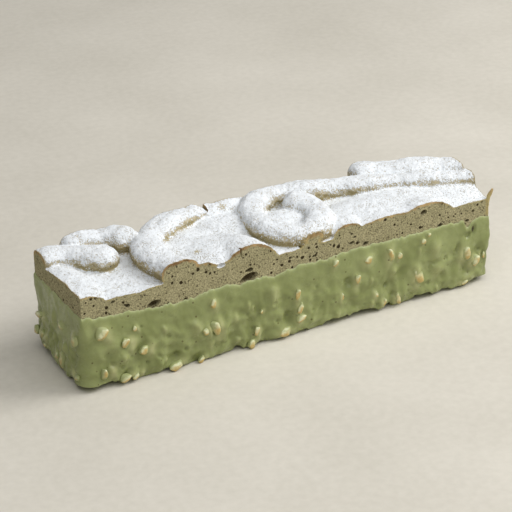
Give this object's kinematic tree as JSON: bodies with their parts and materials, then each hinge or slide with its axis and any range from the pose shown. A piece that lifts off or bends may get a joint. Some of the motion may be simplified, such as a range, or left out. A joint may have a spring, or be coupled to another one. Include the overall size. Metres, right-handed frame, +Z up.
{
  "type": "matcha loaf cake",
  "caption": "Long rectangular loaf cake with piped baked ropes on its sugared top, standing in a green glaze shell with chopped nuts.",
  "frame": {"origin": "on the floor plane under the middle of the loaf", "axes": "+X along the loaf towards the end with the parallel ropes, +Y towards the back long side, +Z up"},
  "size_m": [0.2255, 0.0597, 0.0553],
  "materials": {
    "sponge": "baked olive crumb with a browned, icing-sugared top",
    "glaze": "soft satin green coating with cream almond pieces"
  },
  "bodies": {
    "root": {"sponge": "sponge", "glaze": "glaze"}
  },
  "joints": []
}
